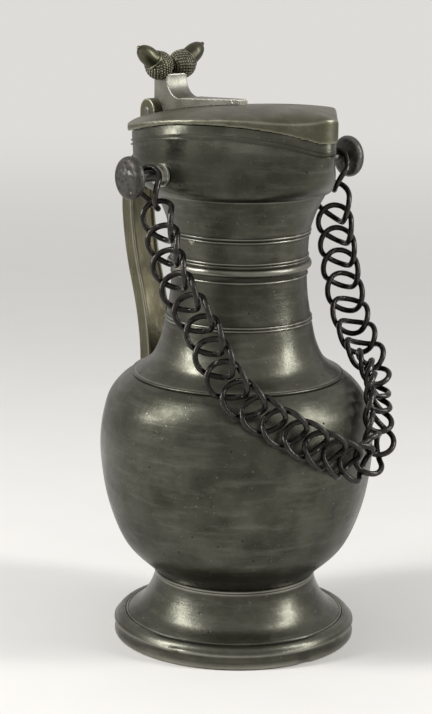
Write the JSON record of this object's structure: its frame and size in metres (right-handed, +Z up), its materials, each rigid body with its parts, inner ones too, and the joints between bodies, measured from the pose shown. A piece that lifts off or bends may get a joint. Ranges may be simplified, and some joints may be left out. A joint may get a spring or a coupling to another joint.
{
  "type": "pewter wine jug with hinged lid and carrying chain",
  "caption": "Turned pewter wine jug with a pointed hinged lid, an acorn thumb piece, a strap handle and an iron carrying chain.",
  "frame": {"origin": "on the axis of the turned body, in the plane that the foot stands on", "axes": "+Z up, +X towards the pointed spout, the handle and the lid hinge at -X, the two chain studs along Y"},
  "size_m": [0.1966, 0.1682, 0.3364],
  "materials": {
    "body_pewter": "old turned pewter, dull grey with an olive tinge, finely pitted",
    "lid_pewter": "old hammered and scraped pewter, dull with worn bright edges",
    "cast_pewter": "old cast pewter, worn bright on the edges and dark in the hollows",
    "stud_iron": "rough pitted iron with a dull grey skin",
    "chain_iron": "dark iron wire, worn smooth, with sharp highlights"
  },
  "bodies": {
    "jug": {"foot": "body_pewter", "body_lower": "body_pewter", "body_upper": "body_pewter", "neck": "body_pewter", "collar": "body_pewter", "handle": "cast_pewter", "hinge_pin": "stud_iron", "stud_boss_left": "cast_pewter", "stud_boss_right": "cast_pewter", "stud_stem_left": "stud_iron", "stud_stem_right": "stud_iron", "stud_button_left": "stud_iron", "stud_button_right": "stud_iron"},
    "lid": {"lid": "lid_pewter", "lid_strap": "cast_pewter", "acorn_left": "cast_pewter", "acorn_right": "cast_pewter"},
    "chain": {"end_shackle_left": "chain_iron", "end_shackle_right": "chain_iron", "chain_link_01": "chain_iron", "chain_link_02": "chain_iron", "chain_link_03": "chain_iron", "chain_link_04": "chain_iron", "chain_link_05": "chain_iron", "chain_link_06": "chain_iron", "chain_link_07": "chain_iron", "chain_link_08": "chain_iron", "chain_link_09": "chain_iron", "chain_link_10": "chain_iron", "chain_link_11": "chain_iron", "chain_link_12": "chain_iron", "chain_link_13": "chain_iron", "chain_link_14": "chain_iron", "chain_link_15": "chain_iron", "chain_link_16": "chain_iron", "chain_link_17": "chain_iron", "chain_link_18": "chain_iron", "chain_link_19": "chain_iron", "chain_link_20": "chain_iron", "chain_link_21": "chain_iron", "chain_link_22": "chain_iron", "chain_link_23": "chain_iron", "chain_link_24": "chain_iron", "chain_link_25": "chain_iron", "chain_link_26": "chain_iron", "chain_link_27": "chain_iron", "chain_link_28": "chain_iron", "chain_link_29": "chain_iron"}
  },
  "joints": [
    {"name": "lid_hinge", "type": "hinge", "parent": "jug", "child": "lid", "pos_m": [-0.0729, 0, 0.2983], "axis": [0, -1, 0], "range_deg": [0, 100]},
    {"name": "chain_swing", "type": "hinge", "parent": "jug", "child": "chain", "pos_m": [0.002, 0, 0.274], "axis": [0, -1, 0], "range_deg": [0, 150]}
  ]
}
